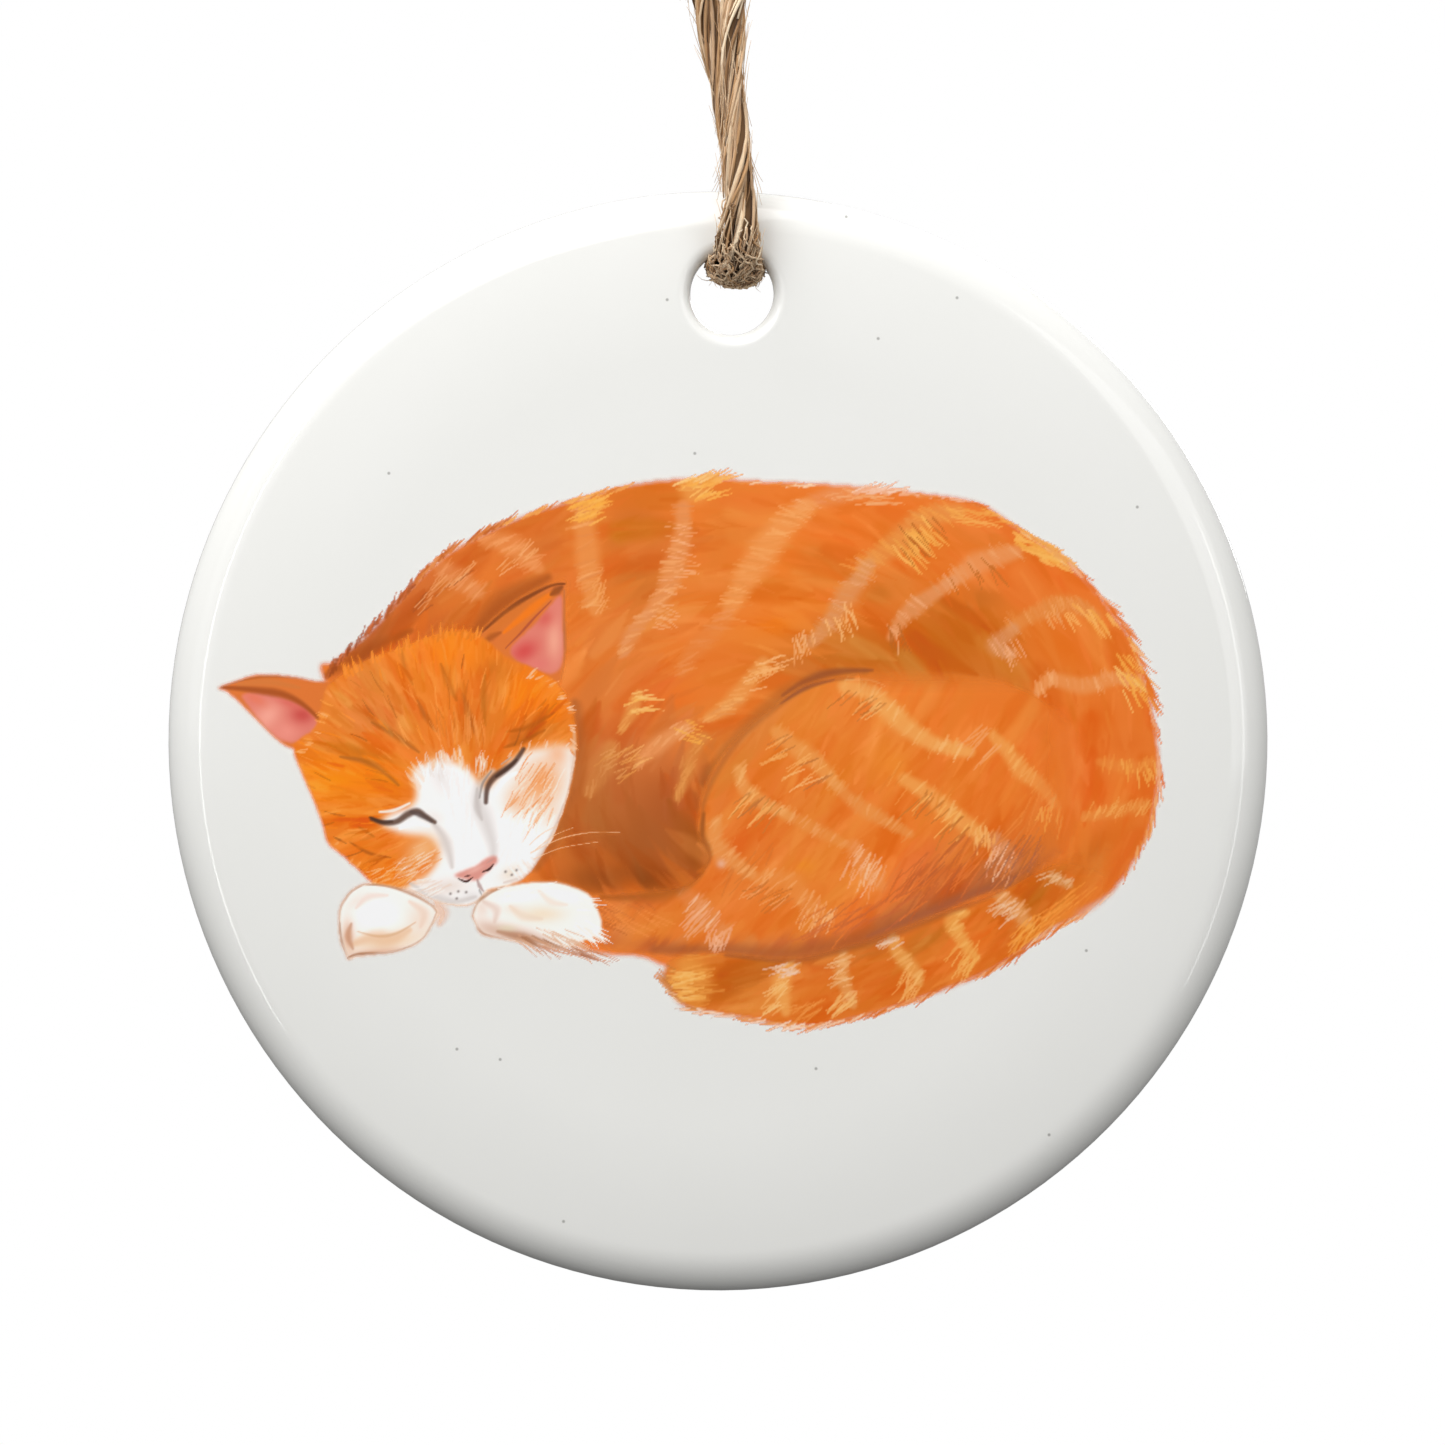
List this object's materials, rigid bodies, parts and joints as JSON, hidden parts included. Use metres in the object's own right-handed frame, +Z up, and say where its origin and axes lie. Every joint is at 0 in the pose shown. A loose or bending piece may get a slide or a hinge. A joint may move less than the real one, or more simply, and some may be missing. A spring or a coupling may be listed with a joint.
{
  "type": "hanging ceramic ornament",
  "caption": "Round glazed ceramic ornament with a printed sleeping ginger cat, hung on a knotted loop of jute twine.",
  "frame": {"origin": "the hang point: inside the top of the twine loop, just under its knot, where a hook or nail carries the ornament", "axes": "+Z up, along the hanging twine; +X to the right; the printed front faces -Y and the plain back faces +Y"},
  "size_m": [0.07, 0.0089, 0.135],
  "materials": {
    "white_glaze": "glossy white glaze",
    "print": "ginger cat in coloured inks, fused into the glossy coating",
    "jute": "natural jute twine, twisted and hairy"
  },
  "bodies": {
    "twine": {"twine_loop": "jute", "twine_knot": "jute", "twine_tail_right": "jute", "twine_tail_left": "jute"},
    "disc": {"ceramic_disc": "white_glaze", "cat_print": "print"}
  },
  "joints": [
    {"name": "disc_swing", "type": "hinge", "parent": "twine", "child": "disc", "pos_m": [0, 0, -0.0541], "axis": [0, 1, 0], "range_deg": [-45, 45]}
  ]
}
